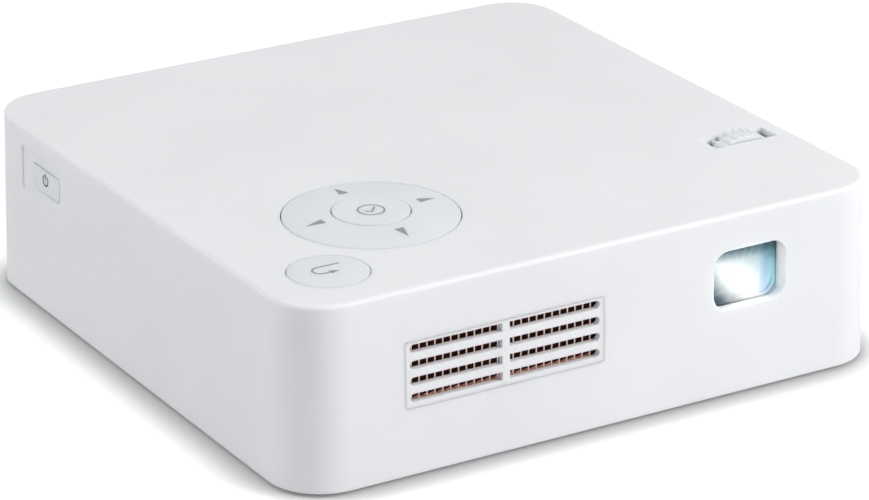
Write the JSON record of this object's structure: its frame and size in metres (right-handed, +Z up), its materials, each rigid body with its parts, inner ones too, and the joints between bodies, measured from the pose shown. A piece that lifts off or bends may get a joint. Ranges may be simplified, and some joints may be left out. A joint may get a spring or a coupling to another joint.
{
  "type": "pocket projector",
  "caption": "Palm-size square projector: drafted white housing, round top keys, focus thumbwheel, front lens window and slotted vent over copper fins.",
  "frame": {"origin": "on the ground under the middle of the housing", "axes": "+Z up, lens facing -Y, power key on the -X side"},
  "size_m": [0.15, 0.15, 0.0441],
  "materials": {
    "white_shell": "fine satin moulded plastic",
    "key_plastic": "satin, slightly cool white",
    "foot_rubber": "matte",
    "zinc_steel": "zinc plated",
    "brass": "machined",
    "copper": "bare copper",
    "dark_plastic": "matte moulded plastic",
    "black_plastic": "matte black moulded plastic",
    "circuit_board": "solder resist",
    "die_cast_alloy": "die cast",
    "lens_glass": "coated optical glass",
    "coated_glass": "dichroic coating",
    "battery_wrap": "shrink film"
  },
  "bodies": {
    "housing": {"top_cover": "white_shell", "base_cover": "white_shell", "rubber_feet": "foot_rubber", "case_screws": "zinc_steel", "tripod_insert": "brass", "rear_panel": "white_shell", "vent_grille": "white_shell", "heat_sink": "copper", "heat_pipe": "copper", "led_heat_plate": "copper", "blower_housing": "dark_plastic", "blower_motor": "zinc_steel", "rocker_bracket": "dark_plastic", "key_board": "circuit_board", "key_board_screws": "zinc_steel", "power_switch_board": "circuit_board", "focus_axles": "zinc_steel", "focus_bracket": "die_cast_alloy", "lens_barrel": "black_plastic", "front_lens": "lens_glass", "lens_bezel": "black_plastic", "engine_housing": "die_cast_alloy", "engine_lid": "die_cast_alloy", "imager_board": "circuit_board", "red_led": "circuit_board", "green_led": "circuit_board", "blue_led": "circuit_board", "collimator_lenses": "lens_glass", "dichroic_plates": "coated_glass", "main_board": "circuit_board", "board_screws": "zinc_steel", "battery_pack": "battery_wrap", "speaker": "black_plastic", "hdmi_socket": "zinc_steel", "usb_socket": "zinc_steel", "audio_socket": "black_plastic", "power_inlet": "black_plastic"},
    "rocker_frame": {"rocker_frame": "dark_plastic"},
    "direction_ring": {"direction_ring": "key_plastic"},
    "centre_key": {"centre_key": "key_plastic"},
    "return_key": {"return_key": "key_plastic"},
    "power_key": {"power_key": "key_plastic"},
    "focus_wheel": {"focus_wheel": "key_plastic"},
    "focus_idler": {"focus_idler": "dark_plastic"},
    "focus_ring": {"focus_ring": "dark_plastic"},
    "lens_carrier": {"lens_carrier": "die_cast_alloy", "focus_lenses": "lens_glass"},
    "blower_impeller": {"blower_impeller": "dark_plastic"}
  },
  "joints": [
    {"name": "ring_tip_front_back", "type": "hinge", "parent": "housing", "child": "rocker_frame", "pos_m": [-0.0335, -0.034, 0.0365], "axis": [1, 0, 0], "range_deg": [-1.2, 1.2], "stiffness_Nm_per_rad": 1.2},
    {"name": "ring_tip_left_right", "type": "hinge", "parent": "rocker_frame", "child": "direction_ring", "pos_m": [-0.0335, -0.034, 0.0365], "axis": [0, 1, 0], "range_deg": [-1.2, 1.2], "stiffness_Nm_per_rad": 1.2},
    {"name": "centre_key_push", "type": "slide", "parent": "housing", "child": "centre_key", "axis": [0, 0, -1], "range_m": [0, 0.0004], "stiffness_N_per_m": 2000},
    {"name": "return_key_push", "type": "slide", "parent": "housing", "child": "return_key", "axis": [0, 0, -1], "range_m": [0, 0.0004], "stiffness_N_per_m": 2000},
    {"name": "power_key_push", "type": "slide", "parent": "housing", "child": "power_key", "axis": [0.9997, 0, -0.0227], "range_m": [0, 0.0005], "stiffness_N_per_m": 2000},
    {"name": "focus_wheel_turn", "type": "hinge", "parent": "housing", "child": "focus_wheel", "pos_m": [0.0615, -0.0361, 0.03366], "axis": [0, 1, 0], "range_deg": [-60, 60]},
    {"name": "focus_idler_turn", "type": "hinge", "parent": "housing", "child": "focus_idler", "pos_m": [0.05301, -0.0361, 0.0224], "axis": [0, 1, 0], "continuous": true},
    {"name": "focus_ring_turn", "type": "hinge", "parent": "housing", "child": "focus_ring", "pos_m": [0.0383, -0.0361, 0.0276], "axis": [0, 1, 0], "range_deg": [-53, 53]},
    {"name": "lens_carrier_slide", "type": "slide", "parent": "housing", "child": "lens_carrier", "axis": [0, 1, 0], "range_m": [-0.00139, 0.00139]},
    {"name": "blower_spin", "type": "hinge", "parent": "housing", "child": "blower_impeller", "pos_m": [-0.0247, -0.03452, 0.0226], "axis": [0, 0, 1], "continuous": true}
  ],
  "couplings": [
    {"joint": "focus_idler_turn", "follows": "focus_wheel_turn", "ratio": -2.3571},
    {"joint": "focus_ring_turn", "follows": "focus_wheel_turn", "ratio": 0.86842},
    {"joint": "lens_carrier_slide", "follows": "focus_wheel_turn", "m_per_rad": -0.0013026}
  ]
}
